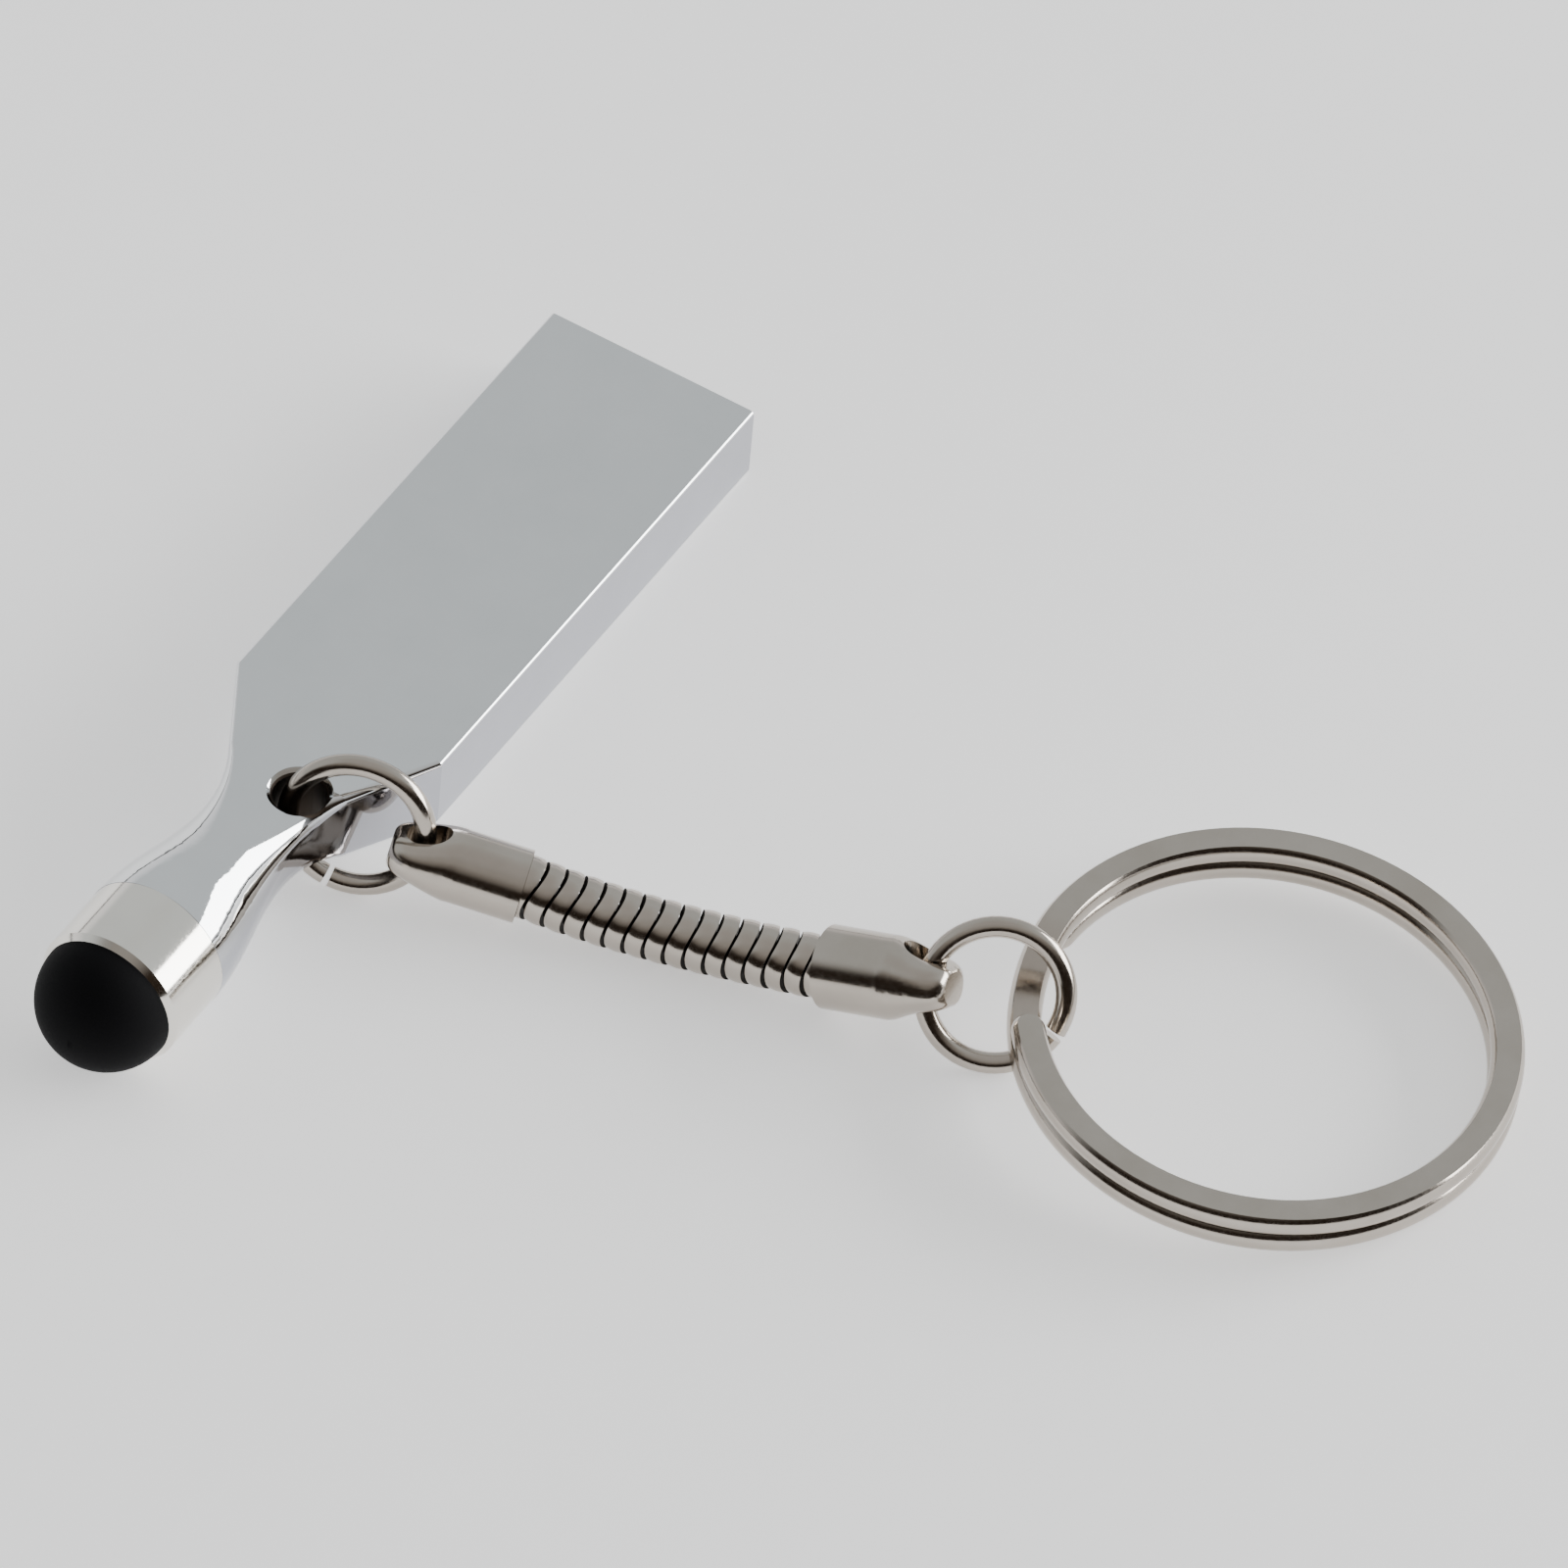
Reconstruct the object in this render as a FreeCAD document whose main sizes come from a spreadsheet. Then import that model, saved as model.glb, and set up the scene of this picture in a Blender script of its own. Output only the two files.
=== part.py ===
import FreeCAD, Part
import math
import os

import Sketcher

# A key-ring flash drive: a one-piece metal body whose flat end is the plug, with a
# stylus at the other end, and a short snake chain that carries a split key ring.
#
# Millimetres. The construction frame has +X along the body towards the plug mouth,
# the key ring on the -Y side, and z = 0 on the surface that everything lies on.
# The whole object is shifted at the end so that its box stands centred on the origin.

V = FreeCAD.Vector

DIMS = {
    # body: the plug end is a flat bar, the other end is turned round
    "plug_width": 12.2,
    "plug_thick": 4.5,
    "bar_length": 29.7,
    "edge_round": 0.3,
    "barrel_radius": 3.95,
    "neck_end": 46.6,
    "spigot_radius": 3.4,
    "spigot_length": 2.4,
    "mouth_wall": 0.4,
    "mouth_depth": 28.0,
    "mouth_corner": 0.2,
    # hole for the key chain, beside the centre line of the neck
    "hole_station": 35.45,
    "hole_offset": 1.3,
    "hole_radius": 1.4,
    "hole_rim_top": 0.3,
    "hole_rim_bottom": 0.7,
    # stylus
    "ferrule_length": 4.45,
    "ferrule_lip": 0.8,
    "ferrule_lip_radius": 3.0,
    "ferrule_bore_radius": 3.4,
    "ferrule_front_chamfer": 0.3,
    "dome_radius": 3.65,
    "dome_wall": 0.9,
    "flange_thick": 1.25,
    # electronics
    "module_length": 24.8,
    "module_width": 11.2,
    "module_thick": 1.4,
    "module_setback": 0.3,
    "carrier_width": 10.9,
    "carrier_thick": 0.5,
    "carrier_length": 27.7,
    "carrier_stop": 2.4,
    "pad_thick": 0.05,
    "pad_setback": 1.0,
    "pad_long": 7.4,
    "pad_short": 6.4,
    "pad_wide": 1.2,
    "pad_outer_offset": 3.5,
    "pad_inner_offset": 1.0,
    # jump rings
    "wire_radius": 0.55,
    "jump_radius": 3.55,
    "jump_opening": 5.0,
    # snake chain
    "link_radius": 1.5,
    "link_crown": 0.14,
    "link_bore": 1.1,
    "link_pitch": 1.05,
    "link_gap": 0.18,
    "link_wave": 0.25,
    # end caps of the chain
    "cap_radius_1": 1.92,
    "cap_radius_2": 2.15,
    "cap_tube": 3.5,
    "cap_bore_share": 0.92,
    "cap_bore_depth": 1.3,
    "cap_eye_station": 5.3,
    "cap_eye_length": 2.25,
    "cap_eye_width": 1.75,
    # split key ring, two coils of flattened wire
    "key_radius": 12.1,
    "key_band": 1.75,
    "key_height": 1.2,
    "key_pitch": 1.25,
    "key_flat": 1.25,
}

LINK_COUNT = 16

doc = FreeCAD.newDocument("stylus_flash_drive")
sheet = doc.addObject("Spreadsheet::Sheet", "dims")
for row, (word, number) in enumerate(DIMS.items(), start=1):
    sheet.set("A%d" % row, word)
    sheet.set("B%d" % row, str(number))
    sheet.setAlias("B%d" % row, word)
doc.recompute()


def dim(word):
    """A driving dimension, read back from the sheet."""
    return float(getattr(sheet, word))


# ---------------------------------------------------------------- sketch helpers


def origin_plane(body, role):
    return next(item for item in body.Origin.OriginFeatures if item.Role == role)


def new_body(name):
    body = doc.addObject("PartDesign::Body", name)
    body.Label = name
    return body


def new_sketch(body, name, role):
    sketch = body.newObject("Sketcher::SketchObject", name)
    sketch.AttachmentSupport = [(origin_plane(body, role), "")]
    sketch.MapMode = "FlatFace"
    return sketch


def bind(sketch, constraint, expression):
    """Add a dimensional constraint and tie it to an expression on the sheet."""
    index = sketch.addConstraint(constraint)
    sketch.setExpression("Constraints[%d]" % index, expression)


def value(expression):
    """The number that an expression on the sheet stands for."""
    return float(sheet.evalExpression(expression.replace("dims.", "")))


def rounded_rectangle(sketch, half_wide, half_high, corner):
    """A centred rectangle with round corners; the three sizes are expressions."""
    w, h, r = value(half_wide), value(half_high), value(corner)
    corners = [(w, h, 0), (-w, h, 90), (-w, -h, 180), (w, -h, 270)]
    arcs = []
    for x, y, start in corners:
        centre = V(x - math.copysign(r, x), y - math.copysign(r, y), 0)
        circle = Part.Circle(centre, V(0, 0, 1), r)
        arc = Part.ArcOfCircle(circle, math.radians(start), math.radians(start + 90))
        arcs.append(sketch.addGeometry(arc))
    lines = []
    for first, second in zip(arcs, arcs[1:] + arcs[:1]):
        a = sketch.getPoint(first, 2)
        b = sketch.getPoint(second, 1)
        line = sketch.addGeometry(Part.LineSegment(a, b))
        sketch.addConstraint(Sketcher.Constraint("Tangent", first, 2, line, 1))
        sketch.addConstraint(Sketcher.Constraint("Tangent", line, 2, second, 1))
        lines.append(line)
    for other in arcs[1:]:
        sketch.addConstraint(Sketcher.Constraint("Equal", arcs[0], other))
    sketch.addConstraint(Sketcher.Constraint("Horizontal", lines[0]))
    sketch.addConstraint(Sketcher.Constraint("Vertical", lines[1]))
    sketch.addConstraint(Sketcher.Constraint("Symmetric", arcs[0], 3, arcs[2], 3, -1, 1))
    bind(sketch, Sketcher.Constraint("Radius", arcs[0], r), corner)
    bind(sketch, Sketcher.Constraint("DistanceX", -1, 1, arcs[0], 3, w - r),
         "(%s) - (%s)" % (half_wide, corner))
    bind(sketch, Sketcher.Constraint("DistanceY", -1, 1, arcs[0], 3, h - r),
         "(%s) - (%s)" % (half_high, corner))


def centred_circle(sketch, radius):
    index = sketch.addGeometry(Part.Circle(V(0, 0, 0), V(0, 0, 1), value(radius)))
    sketch.addConstraint(Sketcher.Constraint("Coincident", index, 3, -1, 1))
    bind(sketch, Sketcher.Constraint("Radius", index, value(radius)), radius)


def polygon(sketch, points):
    """A closed outline; each point is a pair of expressions."""
    corners = [V(value(x), value(y), 0) for x, y in points]
    count = len(corners)
    for i in range(count):
        sketch.addGeometry(Part.LineSegment(corners[i], corners[(i + 1) % count]))
    for i in range(count):
        sketch.addConstraint(Sketcher.Constraint("Coincident", i, 2, (i + 1) % count, 1))
    for i, (x, y) in enumerate(points):
        bind(sketch, Sketcher.Constraint("DistanceX", -1, 1, i, 1, corners[i].x), x)
        bind(sketch, Sketcher.Constraint("DistanceY", -1, 1, i, 1, corners[i].y), y)


# ---------------------------------------------------------------- feature helpers


def set_offset(sketch, axis, expression):
    """Slide a sketch off its plane, or along it, by an expression."""
    sketch.setExpression("AttachmentOffset.Base.%s" % axis, expression)


def pad(body, sketch, length, midplane=False):
    feature = body.newObject("PartDesign::Pad", sketch.Name + "_pad")
    feature.Profile = sketch
    feature.setExpression("Length", length)
    if midplane:
        feature.Midplane = True
    return feature


def pocket(body, sketch, depth=None):
    """A pocket of the given depth, or right through both ways."""
    feature = body.newObject("PartDesign::Pocket", sketch.Name + "_pocket")
    feature.Profile = sketch
    if depth is None:
        feature.Type = "ThroughAll"
        feature.Midplane = True
    else:
        feature.setExpression("Length", depth)
    return feature


def turn(body, sketch, kind, axis):
    """A full revolution or groove about one of the sketch's own axes."""
    feature = body.newObject("PartDesign::" + kind, sketch.Name + "_turn")
    feature.Profile = sketch
    feature.ReferenceAxis = (sketch, [axis])
    feature.Angle = 360
    return feature


def loft(body, name, sections):
    feature = body.newObject("PartDesign::AdditiveLoft", name)
    feature.Profile = sections[0]
    feature.Sections = sections[1:]
    return feature


def section_at(body, name, station, half_wide, half_high, corner):
    """A rounded rectangle across the X axis, at a station given as an expression."""
    sketch = new_sketch(body, name, "YZ_Plane")
    set_offset(sketch, "z", station)
    rounded_rectangle(sketch, half_wide, half_high, corner)
    return sketch


# ---------------------------------------------------------------- body and stylus


# The neck starts where the shoulder's straight taper ends, narrows to its waist and
# swells to the barrel. Its height leaves the bar's thickness a little further on.
NECK_SECTIONS = 6
NECK_START, WAIST, SWELL = 34.5, 38.0, 36.4
NECK_HALF_WIDTH, WAIST_HALF_WIDTH, TAPER_SLOPE = 3.5, 2.6, -0.55


def ease(share):
    """Smooth rise from 0 to 1 with level ends."""
    share = min(max(share, 0.0), 1.0)
    return share * share * (3 - 2 * share)


def neck_half_width(station):
    if station < WAIST:
        span = WAIST - NECK_START
        t = (station - NECK_START) / span
        start = (1 + 2 * t) * (1 - t) ** 2 * NECK_HALF_WIDTH
        slope = t * (1 - t) ** 2 * span * TAPER_SLOPE
        return start + slope + ease(t) * WAIST_HALF_WIDTH
    t = (station - WAIST) / (dim("neck_end") - WAIST)
    return WAIST_HALF_WIDTH + ease(t) * (dim("barrel_radius") - WAIST_HALF_WIDTH)


def neck_half_height(station):
    half = dim("plug_thick") / 2
    t = (station - SWELL) / (dim("neck_end") - SWELL)
    return half + ease(t) * (dim("barrel_radius") - half)


def neck_shares(station):
    """Half width, half height and corner radius at a station, as shares of the barrel's."""
    wide, high = neck_half_width(station), neck_half_height(station)
    t = (station - NECK_START) / (dim("neck_end") - NECK_START)
    corner = min(wide, high) * (0.987 - 0.787 * (1 - t) ** 3)
    return [size / dim("barrel_radius") for size in (wide, high, corner)]


def make_housing():
    body = new_body("housing")
    wide, high = "dims.plug_width / 2", "dims.plug_thick / 2"
    bar = section_at(body, "bar_section", "-dims.bar_length", wide, high, "dims.edge_round")
    pad(body, bar, "dims.bar_length")

    necks = []
    for i in range(NECK_SECTIONS):
        share = i / (NECK_SECTIONS - 1)
        station = NECK_START + share * (dim("neck_end") - NECK_START)
        place = "-dims.neck_end * %.6f" % (station / dim("neck_end"))
        sizes = ["dims.barrel_radius * %.6f" % size for size in neck_shares(station)]
        necks.append(section_at(body, "neck_%d" % i, place, *sizes))
    shoulder = section_at(body, "shoulder_section", "-dims.bar_length", wide, high,
                          "dims.edge_round")
    loft(body, "shoulder", [shoulder, necks[0]])
    loft(body, "neck", necks)

    spigot = new_sketch(body, "spigot_section", "YZ_Plane")
    set_offset(spigot, "z", "-dims.neck_end - dims.spigot_length")
    centred_circle(spigot, "dims.spigot_radius")
    pad(body, spigot, "dims.spigot_length")

    mouth = new_sketch(body, "mouth_section", "YZ_Plane")
    rounded_rectangle(mouth, wide + " - dims.mouth_wall", high + " - dims.mouth_wall",
                      "dims.mouth_corner")
    pocket(body, mouth, "dims.mouth_depth")

    hole = new_sketch(body, "key_hole_profile", "XZ_Plane")
    set_offset(hole, "x", "-dims.hole_station")
    set_offset(hole, "z", "dims.hole_offset")
    above = "dims.plug_thick"
    polygon(hole, [
        ("0", "-" + above),
        ("dims.hole_radius + dims.hole_rim_bottom", "-" + above),
        ("dims.hole_radius + dims.hole_rim_bottom", "-" + high),
        ("dims.hole_radius", "-" + high + " + dims.hole_rim_bottom"),
        ("dims.hole_radius", high + " - dims.hole_rim_top"),
        ("dims.hole_radius + dims.hole_rim_top", high),
        ("dims.hole_radius + dims.hole_rim_top", above),
        ("0", above),
    ])
    turn(body, hole, "Groove", "V_Axis")
    return body


def tie(text):
    """Turn the bare dimension words of a text into references to the sheet."""
    parts = text.split(" ")
    return " ".join("dims." + part if part in DIMS else part for part in parts)


def make_ferrule():
    """A plain sleeve pressed on the spigot, with a lip that holds the rubber tip."""
    body = new_body("stylus_ferrule")
    sketch = new_sketch(body, "ferrule_profile", "XZ_Plane")
    rear = "-dims.neck_end"
    front = "-dims.neck_end - dims.ferrule_length"
    polygon(sketch, [
        (rear, "dims.ferrule_bore_radius"),
        (rear, "dims.barrel_radius"),
        (front + " + dims.ferrule_front_chamfer", "dims.barrel_radius"),
        (front, "dims.barrel_radius - dims.ferrule_front_chamfer"),
        (front, "dims.ferrule_lip_radius"),
        (front + " + dims.ferrule_lip", "dims.ferrule_lip_radius"),
        (front + " + dims.ferrule_lip", "dims.ferrule_bore_radius"),
    ])
    turn(body, sketch, "Revolution", "H_Axis")
    return body


def make_tip():
    """A hollow rubber dome whose flange is caught between the spigot and the lip."""
    body = new_body("stylus_tip")
    sketch = new_sketch(body, "tip_profile", "XZ_Plane")
    front = dim("neck_end") + dim("ferrule_length")
    lip = front - dim("ferrule_lip")
    rear = lip - dim("flange_thick")
    outer, inner = dim("dome_radius"), dim("dome_radius") - dim("dome_wall")
    neck, flange = dim("ferrule_lip_radius"), dim("ferrule_bore_radius")
    bore = neck - dim("dome_wall")
    step = math.sqrt(inner * inner - bore * bore)
    turn_45 = math.sqrt(0.5)
    inner_mid = V(-front - inner * math.cos(math.atan2(bore, step) / 2),
                  inner * math.sin(math.atan2(bore, step) / 2), 0)
    shapes = [
        Part.Arc(V(-front, outer, 0), V(-front - outer * turn_45, outer * turn_45, 0),
                 V(-front - outer, 0, 0)),
        Part.LineSegment(V(-front - outer, 0, 0), V(-front - inner, 0, 0)),
        Part.Arc(V(-front - inner, 0, 0), inner_mid, V(-front - step, bore, 0)),
        Part.LineSegment(V(-front - step, bore, 0), V(-rear, bore, 0)),
        Part.LineSegment(V(-rear, bore, 0), V(-rear, flange, 0)),
        Part.LineSegment(V(-rear, flange, 0), V(-lip, flange, 0)),
        Part.LineSegment(V(-lip, flange, 0), V(-lip, neck, 0)),
        Part.LineSegment(V(-lip, neck, 0), V(-front, neck, 0)),
        Part.LineSegment(V(-front, neck, 0), V(-front, outer, 0)),
    ]
    for shape in shapes:
        sketch.addGeometry(shape)
    front_words = "(dims.neck_end + dims.ferrule_length)"
    lip_words = "(%s - dims.ferrule_lip)" % front_words
    rear_words = "(%s - dims.flange_thick)" % lip_words
    bore_words = "dims.ferrule_lip_radius - dims.dome_wall"
    corners = [(4, rear_words, bore_words),
               (5, rear_words, "dims.ferrule_bore_radius"),
               (6, lip_words, "dims.ferrule_bore_radius"),
               (7, lip_words, "dims.ferrule_lip_radius"),
               (8, front_words, "dims.ferrule_lip_radius")]
    count = len(shapes)
    for i in range(count):
        here, there = sketch.getPoint(i, 1), sketch.getPoint(i, 2)
        following = (i + 1) % count
        start, end = sketch.getPoint(following, 1), sketch.getPoint(following, 2)
        pairs = [(a, b) for a, p in ((1, here), (2, there)) for b, q in ((1, start), (2, end))
                 if (p - q).Length < 1e-7]
        sketch.addConstraint(Sketcher.Constraint("Coincident", i, pairs[0][0],
                                                 following, pairs[0][1]))
    for index, x, y in corners:
        point = sketch.getPoint(index, 1)
        bind(sketch, Sketcher.Constraint("DistanceX", -1, 1, index, 1, point.x), "-(%s)" % x)
        bind(sketch, Sketcher.Constraint("DistanceY", -1, 1, index, 1, point.y), y)
    for arc, radius in ((0, "dims.dome_radius"), (2, "dims.dome_radius - dims.dome_wall")):
        bind(sketch, Sketcher.Constraint("Radius", arc, value(radius)), radius)
        centre = sketch.getPoint(arc, 3)
        bind(sketch, Sketcher.Constraint("DistanceX", -1, 1, arc, 3, centre.x),
             "-" + front_words)
    sketch.addConstraint(Sketcher.Constraint("PointOnObject", 0, 3, -1))
    sketch.addConstraint(Sketcher.Constraint("PointOnObject", 2, 3, -1))
    sketch.addConstraint(Sketcher.Constraint("PointOnObject", 1, 1, -1))
    sketch.addConstraint(Sketcher.Constraint("PointOnObject", 1, 2, -1))
    sketch.addConstraint(Sketcher.Constraint("Horizontal", 3))
    sketch.addConstraint(Sketcher.Constraint("Vertical", 8))
    turn(body, sketch, "Revolution", "H_Axis")
    return body


# ---------------------------------------------------------------- electronics


def make_block(name, size, corner):
    """A plain block, from expressions for its size and for its lowest corner."""
    body = new_body(name)
    outline = new_sketch(body, name + "_outline", "XY_Plane")
    set_offset(outline, "z", corner[2])
    x, y = corner[0], corner[1]
    far_x, far_y = "%s + %s" % (x, size[0]), "%s + %s" % (y, size[1])
    polygon(outline, [(x, y), (far_x, y), (far_x, far_y), (x, far_y)])
    pad(body, outline, size[2])
    return body


CARRIER_FLOOR = "-dims.plug_thick / 2 + dims.mouth_wall"


def make_carrier():
    """Plastic tray on the floor of the mouth, with a stop behind the module."""
    rear, side = "-dims.module_setback - dims.carrier_length", "-dims.carrier_width / 2"
    sizes = {"tray": ("dims.carrier_length", "dims.carrier_thick"),
             "stop": ("dims.carrier_stop", "dims.plug_thick - 2 * dims.mouth_wall")}
    blocks = []
    for name, (length, height) in sizes.items():
        block = doc.addObject("Part::Box", "carrier_" + name)
        block.setExpression("Length", length)
        block.setExpression("Width", "dims.carrier_width")
        block.setExpression("Height", height)
        for axis, expression in zip("xyz", (rear, side, CARRIER_FLOOR)):
            block.setExpression("Placement.Base." + axis, expression)
        blocks.append(block)
    carrier = doc.addObject("Part::Fuse", "module_carrier")
    carrier.Label = "module_carrier"
    carrier.Base, carrier.Tool = blocks
    return carrier


def make_module():
    """Moulded memory module, lying on the tray."""
    return make_block("memory_module",
                    ("dims.module_length", "dims.module_width", "dims.module_thick"),
                    ("-dims.module_setback - dims.module_length", "-dims.module_width / 2",
                     CARRIER_FLOOR + " + dims.carrier_thick"))


def make_contacts():
    """Four gold pads on the module; the outer two are the longer ones."""
    top = CARRIER_FLOOR + " + dims.carrier_thick + dims.module_thick"
    rows = [("contact_power", "dims.pad_long", "dims.pad_outer_offset"),
            ("contact_data_minus", "dims.pad_short", "dims.pad_inner_offset"),
            ("contact_data_plus", "dims.pad_short", "-dims.pad_inner_offset"),
            ("contact_ground", "dims.pad_long", "-dims.pad_outer_offset")]
    return [make_block(name, (length, "dims.pad_wide", "dims.pad_thick"),
                     ("-dims.module_setback - dims.pad_setback - " + length,
                      offset + " - dims.pad_wide / 2", top))
            for name, length, offset in rows]


# ---------------------------------------------------------------- chain


def make_jump_ring(name):
    """Round wire bent to a circle, with the two ends a little apart."""
    ring = doc.addObject("Part::Torus", name)
    ring.Label = name
    ring.setExpression("Radius1", "dims.jump_radius")
    ring.setExpression("Radius2", "dims.wire_radius")
    ring.setExpression("Angle3", "360 - dims.jump_opening")
    return ring


def make_link(name):
    """One link: a crowned sleeve whose two ends are the same saddle, so that each
    link nests in the next and the chain bends both ways."""
    body = new_body(name)
    reach = "(dims.link_radius + dims.link_crown)"
    sagitta = "(2 * dims.link_wave)"
    half = "(dims.link_pitch - dims.link_gap) / 2"
    bow = "((%s * %s + %s * %s) / (2 * %s))" % (reach, reach, sagitta, sagitta, sagitta)

    band = new_sketch(body, name + "_band", "XZ_Plane")
    r, w, a = value(reach), value(half), dim("link_wave")
    ends = {side: [V(side * w + a, -r, 0), V(side * w - a, 0, 0), V(side * w + a, r, 0)]
            for side in (1, -1)}
    right = band.addGeometry(Part.Arc(*ends[1]))
    left = band.addGeometry(Part.Arc(*ends[-1]))
    top = band.addGeometry(Part.LineSegment(ends[1][2], ends[-1][2]))
    bottom = band.addGeometry(Part.LineSegment(ends[-1][0], ends[1][0]))
    for side, arc, sign in ((1, right, ""), (-1, left, "-")):
        low, high = (1, 2) if band.getPoint(arc, 1).y < 0 else (2, 1)
        for line, end in ((top, high), (bottom, low)):
            near = 1 if (band.getPoint(line, 1) - band.getPoint(arc, end)).Length < 1e-6 else 2
            band.addConstraint(Sketcher.Constraint("Coincident", arc, end, line, near))
        for end, height in ((high, reach), (low, "-" + reach)):
            point = band.getPoint(arc, end)
            bind(band, Sketcher.Constraint("DistanceX", -1, 1, arc, end, point.x),
                 "%s(%s) + dims.link_wave" % (sign, half))
            bind(band, Sketcher.Constraint("DistanceY", -1, 1, arc, end, point.y), height)
        bind(band, Sketcher.Constraint("Radius", arc, value(bow)), bow)
    pad(body, band, "2 * %s" % reach, midplane=True)

    crown = new_sketch(body, name + "_crown", "XZ_Plane")
    far = "(%s + dims.link_wave)" % half
    edge, crest, x = dim("link_radius"), value(reach), value(far)
    rim = crown.addGeometry(Part.Arc(V(-x, edge, 0), V(0, crest, 0), V(x, edge, 0)))
    lift = 2 * crest
    corners = [V(x, edge, 0), V(x, lift, 0), V(-x, lift, 0), V(-x, edge, 0)]
    sides = [crown.addGeometry(Part.LineSegment(a, b)) for a, b in zip(corners, corners[1:])]
    first = 1 if crown.getPoint(rim, 1).x > 0 else 2
    crown.addConstraint(Sketcher.Constraint("Coincident", rim, first, sides[0], 1))
    crown.addConstraint(Sketcher.Constraint("Coincident", rim, 3 - first, sides[2], 2))
    crown.addConstraint(Sketcher.Constraint("Coincident", sides[0], 2, sides[1], 1))
    crown.addConstraint(Sketcher.Constraint("Coincident", sides[1], 2, sides[2], 1))
    for side, (px, py) in zip(sides, ((far, "dims.link_radius"), (far, "2 * " + reach),
                                      ("-" + far, "2 * " + reach))):
        point = crown.getPoint(side, 1)
        bind(crown, Sketcher.Constraint("DistanceX", -1, 1, side, 1, point.x), px)
        bind(crown, Sketcher.Constraint("DistanceY", -1, 1, side, 1, point.y), py)
    bind(crown, Sketcher.Constraint("DistanceX", -1, 1, sides[2], 2, -x), "-" + far)
    bind(crown, Sketcher.Constraint("DistanceY", -1, 1, sides[2], 2, edge), "dims.link_radius")
    bulge = "((%s * %s + dims.link_crown * dims.link_crown) / (2 * dims.link_crown))" % (far, far)
    bind(crown, Sketcher.Constraint("Radius", rim, value(bulge)), bulge)
    turn(body, crown, "Groove", "H_Axis")

    bore = new_sketch(body, name + "_bore", "YZ_Plane")
    centred_circle(bore, "dims.link_bore")
    pocket(body, bore)
    return body


# Half width across the eye, half thickness along it and corner radius of the end cap
# from its round tube to its flattened end, and how far each lies from the rim.
CAP_TAPER = [
    ("cap_tube", "1.000", "1.000", "0.985"),
    ("cap_tube + 0.9", "0.980", "0.870", "0.800"),
    ("cap_tube + 1.8", "0.950", "0.680", "0.620"),
    ("cap_tube + 2.6", "0.870", "0.570", "0.520"),
    ("cap_tube + 3.2", "0.700", "0.500", "0.460"),
    ("cap_tube + 3.5", "0.460", "0.380", "0.350"),
]


def make_cap(name, radius):
    """End cap: a tube for the chain, pressed flat at its end and pierced by an eye.
    Its rim is at the origin and its flattened end points along +X."""
    body = new_body(name)
    tube = new_sketch(body, name + "_tube", "YZ_Plane")
    centred_circle(tube, "dims." + radius)
    pad(body, tube, "dims.cap_tube")
    sections = []
    for i, (station, wide, thick, corner) in enumerate(CAP_TAPER):
        sizes = [tie(radius + " * " + share) for share in (wide, thick, corner)]
        sections.append(section_at(body, "%s_taper_%d" % (name, i), tie(station), *sizes))
    loft(body, name + "_taper", sections)

    bore = new_sketch(body, name + "_bore", "YZ_Plane")
    centred_circle(bore, "dims.%s * dims.cap_bore_share" % radius)
    cut = pocket(body, bore, "dims.cap_bore_depth")
    cut.Reversed = True

    eye = new_sketch(body, name + "_eye", "XY_Plane")
    set_offset(eye, "x", "dims.cap_eye_station")
    rounded_rectangle(eye, "dims.cap_eye_length / 2", "dims.cap_eye_width / 2",
                      "dims.cap_eye_width * 0.49")
    pocket(body, eye)
    return body


# ---------------------------------------------------------------- split key ring

# The upper coil runs from its free end through KEY_COIL degrees, drops a level within
# KEY_STEP degrees and runs on as the lower coil, which ends under the drop's start.
KEY_COIL = 322
KEY_STEP = 38


def key_section(angle, height):
    """Section of the flattened wire at an angle round the ring: flat above and below,
    round at its two sides."""
    r, half = dim("key_radius"), dim("key_height") / 2
    flat, side = dim("key_flat") / 2, dim("key_band") / 2
    outline = [(-flat, -half), (flat, -half), (side, 0), (flat, half), (-flat, half), (-side, 0)]
    points = [V(r + x, 0, height + z) for x, z in outline]
    wire = Part.Wire([
        Part.makeLine(points[0], points[1]),
        Part.Arc(points[1], points[2], points[3]).toShape(),
        Part.makeLine(points[3], points[4]),
        Part.Arc(points[4], points[5], points[0]).toShape(),
    ])
    wire.rotate(V(0, 0, 0), V(0, 0, 1), angle)
    return wire


def step_height(turn_share):
    """Height over the step between the coils: level at both ends."""
    half = dim("key_pitch") / 2
    return half * math.cos(math.pi * turn_share)


def make_key_ring():
    half = dim("key_pitch") / 2
    axis = V(0, 0, 1)
    upper = Part.Face(key_section(0, half)).revolve(V(0, 0, 0), axis, KEY_COIL)
    lower = Part.Face(key_section(KEY_STEP, -half)).revolve(V(0, 0, 0), axis, KEY_COIL)
    lower.rotate(V(0, 0, 0), axis, KEY_COIL)
    steps = 8
    sections = [key_section(KEY_COIL + KEY_STEP * i / steps, step_height(i / steps))
                for i in range(steps + 1)]
    drop = Part.makeLoft(sections, True, False)
    ring = doc.addObject("Part::Feature", "key_ring")
    ring.Label = "key_ring"
    ends = [rounded_end(0, half), rounded_end(2 * KEY_COIL + KEY_STEP, -half)]
    ring.Shape = upper.fuse([drop, lower] + ends).removeSplitter()
    return ring


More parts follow.
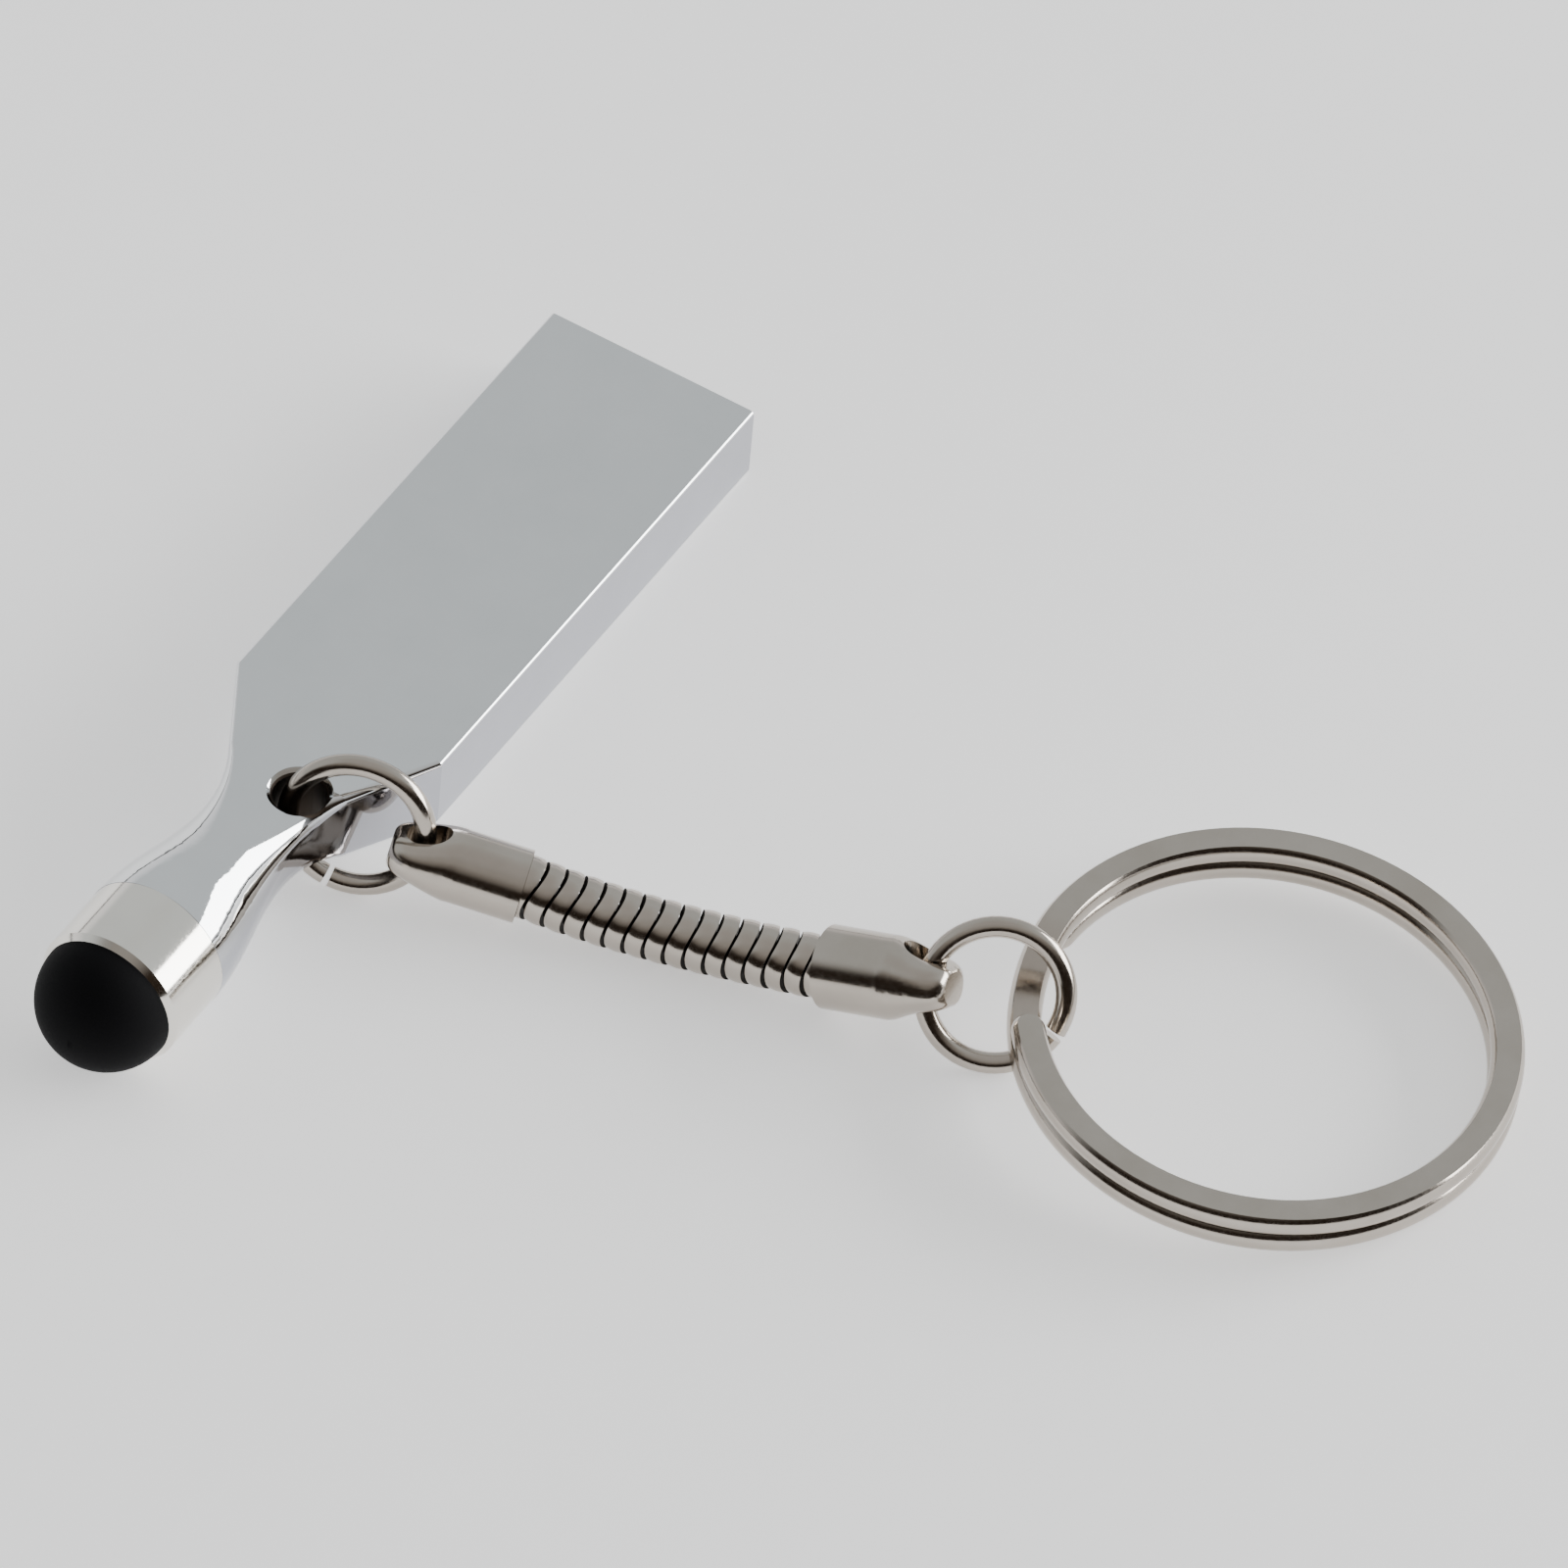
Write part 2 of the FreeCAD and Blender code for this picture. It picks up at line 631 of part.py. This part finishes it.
def rounded_end(angle, height):
    """Half-round end of the flattened wire, round a vertical line through its middle."""
    r, half = dim("key_radius"), dim("key_height") / 2
    flat, side = dim("key_flat") / 2, dim("key_band") / 2
    foot, head = V(r, 0, height - half), V(r, 0, height + half)
    low, high = V(r + flat, 0, height - half), V(r + flat, 0, height + half)
    wire = Part.Wire([
        Part.makeLine(foot, low),
        Part.Arc(low, V(r + side, 0, height), high).toShape(),
        Part.makeLine(high, head),
        Part.makeLine(head, foot),
    ])
    end = Part.Face(wire).revolve(V(r, 0, 0), V(0, 0, 1), 360)
    end.rotate(V(0, 0, 0), V(0, 0, 1), angle)
    return end


# ---------------------------------------------------------------- where the pieces lie


def heading(azimuth, climb):
    """Unit vector from its angle round the vertical axis and its angle above the floor."""
    a, c = math.radians(azimuth), math.radians(climb)
    return V(math.cos(c) * math.cos(a), math.cos(c) * math.sin(a), math.sin(c))


def lie(point, along, toward):
    """Placement at a point with +X along one direction and +Z as near another as it can be."""
    side = toward.cross(along).normalize()
    return FreeCAD.Placement(point, FreeCAD.Rotation(along, side, along.cross(side)))


def on_ring(centre, level, steep, angle):
    """Point of a ring's wire at an angle up from its level radius."""
    a, r = math.radians(angle), dim("jump_radius")
    return centre + level * (r * math.cos(a)) + steep * (r * math.sin(a))


def drive_placement():
    """The drive rests on the lower lip of its mouth and on the back of its barrel."""
    half, barrel = dim("plug_thick") / 2, dim("barrel_radius")
    tilt = math.degrees(math.atan((barrel - half) / dim("neck_end")))
    height = half * math.cos(math.radians(tilt))
    return FreeCAD.Placement(V(0, 0, height), FreeCAD.Rotation(V(0, 1, 0), tilt))


# The first ring stands steeply in the key hole, the second leans on the key ring.
RING_1 = {"centre": V(-34.24, -4.04, 3.98), "normal": V(-0.913, -0.315, 0.259).normalize(),
          "gap": -107, "eye": -16}
RING_2 = {"centre": V(-25.50, -36.26, 3.54), "normal": V(-0.715, -0.444, 0.540).normalize(),
          "gap": -150, "eye": 8}
CAP_1 = heading(-71.5, -9)
CAP_2 = heading(-83.0, 16)
EYE_PLAY = 0.1
CHAIN_START, CHAIN_BOW, CHAIN_CLIMB = -74.8, 3.5, 8.5
KEY_CENTRE = V(-19.32, -48.40, 0)
KEY_TILT = 4.3
KEY_TONGUE = 128


def ring_axes(ring, toward):
    """Level and steepest directions in a ring's plane, the level one toward a side."""
    normal = ring["normal"]
    level = normal.cross(V(0, 0, 1)).normalize()
    if level.dot(toward) < 0:
        level = -level
    steep = V(0, 0, 1) - normal * normal.z
    return level, steep.normalize()


def ring_placement(ring, toward):
    level, steep = ring_axes(ring, toward)
    a = math.radians(ring["gap"])
    gap = level * math.cos(a) + steep * math.sin(a)
    return lie(ring["centre"], gap, ring["normal"])


def eye_point(ring, toward):
    level, steep = ring_axes(ring, toward)
    return on_ring(ring["centre"], level, steep, ring["eye"])


def wire_direction(ring, toward):
    """Direction of the wire where it runs through the eye, pointing upward."""
    level, steep = ring_axes(ring, toward)
    a = math.radians(ring["eye"])
    return (steep * math.cos(a) - level * math.sin(a)).normalize()


def cap_rim(ring, toward, along):
    """Middle of a cap's rim, from the eye hooked on the ring; along points to its eye."""
    return eye_point(ring, toward) - along * (dim("cap_eye_station") + EYE_PLAY)


def chain_directions():
    ways = []
    for i in range(LINK_COUNT):
        share = 2 * (i + 0.5) / LINK_COUNT - 1
        ways.append(heading(CHAIN_START - CHAIN_BOW * share * share, CHAIN_CLIMB * share))
    return ways


def chain_hinges(first_rim, last_rim):
    """Points between the links, first to last, centred between the two rims."""
    ways, pitch = chain_directions(), dim("link_pitch")
    whole = V(0, 0, 0)
    for way in ways:
        whole += way * pitch
    points = [(first_rim + last_rim) * 0.5 - whole * 0.5]
    for way in ways:
        points.append(points[-1] + way * pitch)
    return points


def key_frame():
    """Middle of the key ring and its tilted axes, the first toward the second ring."""
    away = RING_2["centre"] - KEY_CENTRE
    flat = V(away.x, away.y, 0).normalize()
    tilt = math.radians(KEY_TILT)
    outer = dim("key_radius") + dim("key_band") / 2
    half = (dim("key_pitch") + dim("key_height")) / 2
    raised = flat * math.cos(tilt) + V(0, 0, math.sin(tilt))
    up = V(0, 0, math.cos(tilt)) - flat * math.sin(tilt)
    middle = V(KEY_CENTRE.x, KEY_CENTRE.y, half * math.cos(tilt) + outer * math.sin(tilt))
    return middle, raised, up


def key_placement():
    middle, raised, up = key_frame()
    turned = FreeCAD.Rotation(up, KEY_TONGUE - math.degrees(math.atan2(raised.y, raised.x)))
    return lie(middle, turned.multVec(raised), up)


TO_CHAIN, TO_CAP = V(0, -1, 0), V(0, 1, 0)


def assemble():
    """Make every piece and lay it in place; returns the pieces by name."""
    pieces = {}

    def put(piece, placement):
        piece.Placement = placement.multiply(piece.Placement)
        pieces[piece.Label] = piece

    drive = drive_placement()
    for piece in [make_housing(), make_ferrule(), make_tip(), make_carrier(), make_module()]:
        put(piece, drive)
    for contact in make_contacts():
        put(contact, drive)
    put(make_jump_ring("neck_ring"), ring_placement(RING_1, TO_CHAIN))
    put(make_jump_ring("end_ring"), ring_placement(RING_2, TO_CAP))
    rim_1 = cap_rim(RING_1, TO_CHAIN, -CAP_1)
    rim_2 = cap_rim(RING_2, TO_CAP, CAP_2)
    put(make_cap("chain_cap_1", "cap_radius_1"), lie(rim_1, -CAP_1, wire_direction(RING_1, TO_CHAIN)))
    put(make_cap("chain_cap_2", "cap_radius_2"), lie(rim_2, CAP_2, wire_direction(RING_2, TO_CAP)))
    hinges = chain_hinges(rim_1, rim_2)
    for i, way in enumerate(chain_directions()):
        middle = (hinges[i] + hinges[i + 1]) * 0.5
        put(make_link("chain_link_%02d" % (i + 1)), lie(middle, way, V(0, 0, 1)))
    put(make_key_ring(), key_placement())
    return pieces


def settle(pieces):
    """Move the whole assembly so that the middle of its footprint is the origin."""
    box = FreeCAD.BoundBox()
    for piece in pieces.values():
        box.add(piece.Shape.optimalBoundingBox(False))
    shift = V(-box.Center.x, -box.Center.y, -box.ZMin)
    for piece in pieces.values():
        piece.Placement = FreeCAD.Placement(shift, FreeCAD.Rotation()).multiply(piece.Placement)
    return shift


def write(pieces):
    for item in doc.Objects:
        if any(word in item.State for word in ("Invalid", "Error")):
            raise RuntimeError("%s is %s" % (item.Label, item.State))
    os.makedirs("parts", exist_ok=True)
    for name, piece in pieces.items():
        shape = piece.Shape
        if shape.isNull() or not shape.isValid() or len(shape.Solids) != 1:
            raise RuntimeError("%s is not one valid solid" % name)
        shape.exportStep(os.path.join("parts", name + ".step"))


pieces = assemble()
doc.recompute()
shift = settle(pieces)
doc.recompute()
write(pieces)
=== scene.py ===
"""Looks of the key-ring flash drive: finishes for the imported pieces, pale floor, studio light
and a long-lens camera. Lengths are metres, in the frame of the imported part."""

import math

import bpy
from mathutils import Matrix, Vector

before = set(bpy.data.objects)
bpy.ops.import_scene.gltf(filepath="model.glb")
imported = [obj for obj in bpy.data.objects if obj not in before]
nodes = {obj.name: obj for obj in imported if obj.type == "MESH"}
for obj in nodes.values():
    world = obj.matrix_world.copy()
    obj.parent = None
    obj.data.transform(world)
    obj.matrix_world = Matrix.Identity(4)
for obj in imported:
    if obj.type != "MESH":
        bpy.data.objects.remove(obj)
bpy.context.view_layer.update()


# ------------------------------------------------------------------ node helpers


def new_material(name):
    material = bpy.data.materials.new(name)
    material.use_nodes = True
    tree = material.node_tree
    tree.nodes.clear()
    return material, tree


def add(tree, kind, **inputs):
    """Add a shader node, setting input sockets by name with _ for a space."""
    node = tree.nodes.new(kind)
    for key, value in inputs.items():
        node.inputs[key.replace("_", " ")].default_value = value
    return node


def join(tree, source, out, target, into):
    tree.links.new(source.outputs[out], target.inputs[into])


def ramp(tree, stops):
    """Colour ramp through (position, colour) stops."""
    node = tree.nodes.new("ShaderNodeValToRGB")
    elements = node.color_ramp.elements
    while len(elements) > 1:
        elements.remove(elements[-1])
    elements[0].position, elements[0].color = stops[0][0], (*stops[0][1], 1)
    for place, colour in stops[1:]:
        elements.new(place).color = (*colour, 1)
    return node


def grain(tree, scale, detail=4, stretch=(1, 1, 1)):
    """Noise over the piece's own coordinates; scale counts features per metre."""
    coords = tree.nodes.new("ShaderNodeTexCoord")
    mapping = add(tree, "ShaderNodeMapping", Scale=stretch)
    noise = add(tree, "ShaderNodeTexNoise", Scale=scale, Detail=detail, Roughness=0.6)
    join(tree, coords, "Object", mapping, "Vector")
    join(tree, mapping, "Vector", noise, "Vector")
    return noise


def range_of(tree, source, out, low, high):
    node = add(tree, "ShaderNodeMapRange")
    node.inputs["From Min"].default_value = 0.3
    node.inputs["From Max"].default_value = 0.7
    node.inputs["To Min"].default_value = low
    node.inputs["To Max"].default_value = high
    join(tree, source, out, node, "Value")
    return node


def metal(name, light, dark, rough, fine=5200, cloud=240, bump=0.012, stretch=(1, 1, 1)):
    """Polished metal: faint clouding of the tint, fine uneven polish and a trace of relief."""
    material, tree = new_material(name)
    out = tree.nodes.new("ShaderNodeOutputMaterial")
    shader = add(tree, "ShaderNodeBsdfPrincipled", Metallic=1.0)
    clouding = grain(tree, cloud, 5)
    tint = ramp(tree, [(0.30, dark), (0.70, light)])
    join(tree, clouding, "Fac", tint, "Fac")
    join(tree, tint, "Color", shader, "Base Color")
    polish = grain(tree, fine, 3, stretch)
    level = range_of(tree, polish, "Fac", *rough)
    join(tree, level, "Result", shader, "Roughness")
    relief = add(tree, "ShaderNodeBump", Strength=bump, Distance=0.00002)
    join(tree, polish, "Fac", relief, "Height")
    join(tree, relief, "Normal", shader, "Normal")
    join(tree, shader, "BSDF", out, "Surface")
    return material


def shader_of(tree):
    return next(n for n in tree.nodes if n.bl_idname == "ShaderNodeBsdfPrincipled")


def blend_input(tree, factor, out, socket, target, blend_type="MIX"):
    """Blend what feeds a shader input toward a colour or a number, by a factor node."""
    shader = shader_of(tree)
    node = tree.nodes.new("ShaderNodeMix")
    node.data_type = "RGBA" if socket == "Base Color" else "FLOAT"
    node.blend_type = blend_type
    first, second, result = (6, 7, 2) if socket == "Base Color" else (2, 3, 0)
    join(tree, factor, out, node, 0)
    tree.links.new(shader.inputs[socket].links[0].from_socket, node.inputs[first])
    node.inputs[second].default_value = target
    tree.links.new(node.outputs[result], shader.inputs[socket])


def paint_bore_shade_and_dull(material, point, axis, reach, colour, dullness):
    """Painted shade, with duller metal, where the surface is nearer to a bore's axis than reach.
    """
    tree = material.node_tree
    last, out = tree.nodes.new("ShaderNodeTexCoord"), "Object"
    for operation, constant in (("SUBTRACT", point), ("CROSS_PRODUCT", axis), ("LENGTH", None)):
        node = tree.nodes.new("ShaderNodeVectorMath")
        node.operation = operation
        if constant:
            node.inputs[1].default_value = constant
        join(tree, last, out, node, 0)
        last, out = node, "Vector"
    inside = tree.nodes.new("ShaderNodeMath")
    inside.operation = "LESS_THAN"
    inside.inputs[1].default_value = reach
    join(tree, last, "Value", inside, 0)
    blend_input(tree, inside, "Value", "Base Color", (*colour, 1))
    blend_input(tree, inside, "Value", "Roughness", dullness)


def paint_flank_shade(material, tint, full, none):
    """Painted shade: multiply the base colour by a tint where the surface stands upright,
    standing in for the shaded floor that the flanks reflect.
    Fully where its normal rises less than full, not at all where it rises more than none."""
    tree = material.node_tree
    coords = tree.nodes.new("ShaderNodeTexCoord")
    split = tree.nodes.new("ShaderNodeSeparateXYZ")
    join(tree, coords, "Normal", split, "Vector")
    rise = tree.nodes.new("ShaderNodeMath")
    rise.operation = "ABSOLUTE"
    join(tree, split, "Z", rise, 0)
    upright = tree.nodes.new("ShaderNodeMapRange")
    upright.interpolation_type = "SMOOTHSTEP"
    for socket, number in (("From Min", full), ("From Max", none), ("To Min", 1), ("To Max", 0)):
        upright.inputs[socket].default_value = number
    join(tree, rise, "Value", upright, "Value")
    blend_input(tree, upright, "Result", "Base Color", (*tint, 1), "MULTIPLY")


def soft(name, light, dark, rough, scale, bump, level=0.5):
    """Rubber or plastic: two close tones in fine grain, with matching relief."""
    material, tree = new_material(name)
    out = tree.nodes.new("ShaderNodeOutputMaterial")
    shader = add(tree, "ShaderNodeBsdfPrincipled")
    shader.inputs["Specular IOR Level"].default_value = level
    spots = grain(tree, scale, 6)
    tint = ramp(tree, [(0.35, dark), (0.65, light)])
    join(tree, spots, "Fac", tint, "Fac")
    join(tree, tint, "Color", shader, "Base Color")
    dullness = range_of(tree, spots, "Fac", *rough)
    join(tree, dullness, "Result", shader, "Roughness")
    relief = add(tree, "ShaderNodeBump", Strength=bump, Distance=0.00003)
    join(tree, spots, "Fac", relief, "Height")
    join(tree, relief, "Normal", shader, "Normal")
    join(tree, shader, "BSDF", out, "Surface")
    return material


# ------------------------------------------------------------------ finishes

CHROME = metal("body_chrome", (0.775, 0.79, 0.80), (0.74, 0.755, 0.765), (0.03, 0.07))
SLEEVE = metal("sleeve_nickel", (0.86, 0.83, 0.77), (0.81, 0.78, 0.72), (0.07, 0.14))
NICKEL = metal("chain_nickel", (0.50, 0.455, 0.405), (0.44, 0.395, 0.345), (0.12, 0.20))
RUBBER = soft("tip_rubber", (0.0035, 0.0035, 0.0045), (0.0015, 0.0015, 0.002),
              (0.70, 0.85), 9000, 0.2, level=0.12)
TRAY = soft("tray_plastic", (0.030, 0.030, 0.034), (0.020, 0.020, 0.023),
            (0.40, 0.55), 6000, 0.10)
MODULE = soft("module_epoxy", (0.016, 0.016, 0.018), (0.010, 0.010, 0.011),
              (0.22, 0.34), 7000, 0.08)
GOLD = metal("contact_gold", (0.92, 0.70, 0.30), (0.86, 0.63, 0.25), (0.14, 0.26))

# Painted shade: the chrome's upright flanks are darkened and tinted lavender, standing in for the
# shaded floor they reflect.
paint_flank_shade(CHROME, (0.64, 0.64, 0.69), 0.1, 0.6)

# A point on the key hole's axis, the drive's tilt and the reach of the hole's wall.
KEY_HOLE = Vector((-0.008191, 0.026345, 0.001994))
TILT = math.radians(2.0895)
HOLE_REACH = 0.00150
# Painted shade for the key hole's wall: a near-black colour standing in for the shade inside the
# hole, together with a duller polish.
HOLE_PAINTED_SHADE, HOLE_DULLNESS = (0.045, 0.035, 0.028), 0.45
paint_bore_shade_and_dull(CHROME, KEY_HOLE, (math.sin(TILT), 0.0, math.cos(TILT)), HOLE_REACH,
            HOLE_PAINTED_SHADE, HOLE_DULLNESS)

# Painted shade on a link's bore, and on its ends inside the rounded rim, so the slits between
# links read dark.
SLIT_SHADE = metal("link_painted_shade", (0.050, 0.042, 0.036), (0.025, 0.021, 0.018), (0.45, 0.60))
BORE_REACH = 0.00128
RIM_REACH = 0.00150
END_FACING = 0.5

FINISHES = {
    "housing": CHROME,
    "stylus_ferrule": SLEEVE,
    "stylus_tip": RUBBER,
    "module_carrier": TRAY,
    "memory_module": MODULE,
}


def finish_of(name):
    if name.startswith("contact_"):
        return GOLD
    return FINISHES.get(name, NICKEL)


for name, piece in nodes.items():
    piece.data.materials.clear()
    piece.data.materials.append(finish_of(name))


def middle_of(piece):
    points = [vertex.co for vertex in piece.data.vertices]
    return sum(points, Vector()) / len(points)


def paint_link_shade():
    """Give each link's ends and bore the painted shade, so that the slits between links read
    dark.
    """
    links = [nodes[name] for name in sorted(nodes) if name.startswith("chain_link_")]
    middles = [middle_of(link) for link in links]
    for i, link in enumerate(links):
        before, after = middles[max(i - 1, 0)], middles[min(i + 1, len(links) - 1)]
        axis = (after - before).normalized()
        link.data.materials.append(SLIT_SHADE)
        for face in link.data.polygons:
            offset = face.center - middles[i]
            radius = (offset - axis * offset.dot(axis)).length
            at_end = abs(face.normal.dot(axis)) > END_FACING and radius < RIM_REACH
            if radius < BORE_REACH or at_end:
                face.material_index = 1


paint_link_shade()


# ------------------------------------------------------------------ floor


def make_floor():
    """Pale sheet of paper just under the part."""
    half, drop, glow = 1.2, 0.00005, 0.62
    mesh = bpy.data.meshes.new("floor")
    corners = [(-half, -half, 0), (half, -half, 0), (half, half, 0), (-half, half, 0)]
    mesh.from_pydata([(x, y, z - drop) for x, y, z in corners], [], [(0, 1, 2, 3)])
    floor = bpy.data.objects.new("floor", mesh)
    bpy.context.scene.collection.objects.link(floor)
    material, tree = new_material("floor_paper")
    out = tree.nodes.new("ShaderNodeOutputMaterial")
    shader = add(tree, "ShaderNodeBsdfPrincipled", Roughness=0.9)
    shader.inputs["Emission Color"].default_value = (1.0, 1.0, 1.0, 1.0)
    shader.inputs["Emission Strength"].default_value = glow
    paper = grain(tree, 300, 4)
    tint = ramp(tree, [(0.3, (0.86, 0.86, 0.865)), (0.7, (0.88, 0.88, 0.88))])
    join(tree, paper, "Fac", tint, "Fac")
    join(tree, tint, "Color", shader, "Base Color")
    join(tree, shader, "BSDF", out, "Surface")
    mesh.materials.append(material)


make_floor()


# ------------------------------------------------------------------ light

# The point the camera looks at, the direction from it to the camera, and the image's axes.
TARGET = Vector((0.010398, 0.008982, 0.000002))
TOWARD = Vector((-0.57560, -0.31747, 0.75359))
RIGHT = Vector((0.52751, -0.84833, 0.04554))
UP = Vector((0.62484, 0.42374, 0.65576))
CAMERA_DISTANCE = 1.2874
LEVEL_RIGHT = math.degrees(math.atan2(RIGHT.y, RIGHT.x))


def aimed(location):
    """World matrix at a place, looking along -Z at the origin."""
    back = location.normalized()
    side = Vector((0, 0, 1)).cross(back).normalized()
    top = back.cross(side)
    turn = Matrix((side, top, back)).transposed()
    return Matrix.Translation(location) @ turn.to_4x4()


def direction(azimuth, elevation):
    """Direction by its angle round from image right, seen from above, and its height."""
    a, e = math.radians(LEVEL_RIGHT + azimuth), math.radians(elevation)
    return Vector((math.cos(a) * math.cos(e), math.sin(a) * math.cos(e), math.sin(e)))


def area_light(name, azimuth, elevation, distance, width, height, power):
    """White panel facing the origin."""
    light = bpy.data.lights.new(name, "AREA")
    light.shape = "RECTANGLE"
    light.size, light.size_y = width, height
    light.energy = power
    lamp = bpy.data.objects.new(name, light)
    lamp.matrix_world = aimed(direction(azimuth, elevation) * distance)
    bpy.context.scene.collection.objects.link(lamp)


def tone_by_height(tree, height, stops):
    tones = ramp(tree, stops)
    join(tree, height, "Result", tones, "Fac")
    return tones


def toward(tree, coords, azimuth, low, high):
    """0 to 1 as a direction turns toward an azimuth, by the cosine of the angle between."""
    way = direction(azimuth, 0)
    dot = tree.nodes.new("ShaderNodeVectorMath")
    dot.operation = "DOT_PRODUCT"
    dot.inputs[1].default_value = way
    join(tree, coords, "Generated", dot, 0)
    step = tree.nodes.new("ShaderNodeMapRange")
    step.interpolation_type = "SMOOTHSTEP"
    step.inputs["From Min"].default_value = low
    step.inputs["From Max"].default_value = high
    join(tree, dot, "Value", step, "Value")
    return step


def mix(tree, factor, out, first, second):
    node = tree.nodes.new("ShaderNodeMix")
    node.data_type = "RGBA"
    join(tree, factor, out, node, 0)
    tree.links.new(first.outputs[0 if "Color" in first.outputs else 2], node.inputs[6])
    tree.links.new(second.outputs[0], node.inputs[7])
    return node


def make_world():
    """The studio round the object: white sweep and grey ceiling beyond it, and a dark room
    behind the camera."""
    world = bpy.data.worlds.new("studio")
    bpy.context.scene.world = world
    world.use_nodes = True
    tree = world.node_tree
    tree.nodes.clear()
    out = tree.nodes.new("ShaderNodeOutputWorld")
    back = add(tree, "ShaderNodeBackground", Strength=1.0)
    coords = tree.nodes.new("ShaderNodeTexCoord")
    split = tree.nodes.new("ShaderNodeSeparateXYZ")
    join(tree, coords, "Generated", split, "Vector")
    height = tree.nodes.new("ShaderNodeMapRange")
    join(tree, split, "Z", height, "Value")
    far = tone_by_height(tree, height, [
        (0.00, (0.03, 0.03, 0.03)), (0.02, (0.12, 0.12, 0.12)), (0.05, (1.10, 1.10, 1.11)),
        (0.16, (1.00, 1.00, 1.02)), (0.28, (0.70, 0.73, 0.74)), (0.75, (0.70, 0.735, 0.745)),
        (1.00, (0.60, 0.59, 0.58))])
    near = tone_by_height(tree, height, [
        (0.00, (0.05, 0.045, 0.04)), (0.05, (0.020, 0.014, 0.010)), (0.42, (0.035, 0.025, 0.018)),
        (0.62, (0.30, 0.28, 0.26)), (0.80, (0.50, 0.485, 0.465)), (1.00, (0.56, 0.55, 0.54))])
    side = mix(tree, toward(tree, coords, -90, 0.05, 0.45), "Result", far, near)
    join(tree, side, 2, back, "Color")
    join(tree, back, "Background", out, "Surface")


make_world()
area_light("side_panel", 13, 17, 0.9, 0.9, 0.40, 12.0)


# ------------------------------------------------------------------ camera


def make_camera():
    data = bpy.data.cameras.new("camera")
    data.sensor_width, data.lens = 36.0, 586.8
    data.clip_start, data.clip_end = 0.05, 20.0
    camera = bpy.data.objects.new("camera", data)
    turn = Matrix((RIGHT.normalized(), UP.normalized(), TOWARD.normalized())).transposed()
    camera.matrix_world = Matrix.Translation(TARGET + TOWARD * CAMERA_DISTANCE) @ turn.to_4x4()
    bpy.context.scene.collection.objects.link(camera)
    bpy.context.scene.camera = camera


make_camera()
